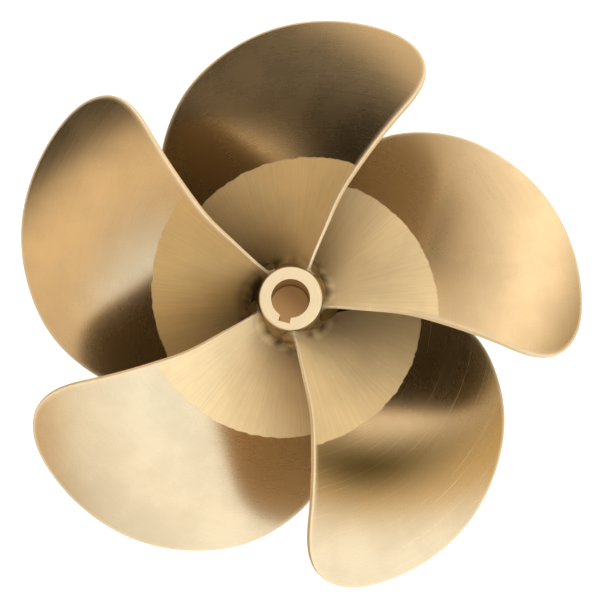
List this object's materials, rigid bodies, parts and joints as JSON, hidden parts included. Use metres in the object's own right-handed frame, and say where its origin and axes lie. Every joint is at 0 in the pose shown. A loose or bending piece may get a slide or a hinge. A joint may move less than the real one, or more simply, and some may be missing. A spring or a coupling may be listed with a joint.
{
  "type": "boat propeller",
  "caption": "Fixed-pitch bronze boat propeller with wide, skewed, overlapping blades round a boss with a tapered, keyed shaft bore.",
  "frame": {"origin": "where the shaft axis meets the boss's forward face, which is the large end of the tapered bore", "axes": "+Z along the shaft axis towards the aft (nut) end, +Y through the first blade's reference line"},
  "size_m": [0.5424, 0.5435, 0.1561],
  "materials": {
    "boss_bronze": "machined cast bronze",
    "blade_bronze": "ground and brushed cast bronze"
  },
  "bodies": {
    "root": {"boss": "boss_bronze", "blade_1": "blade_bronze", "blade_2": "blade_bronze", "blade_3": "blade_bronze", "blade_4": "blade_bronze", "blade_5": "blade_bronze"}
  },
  "joints": []
}
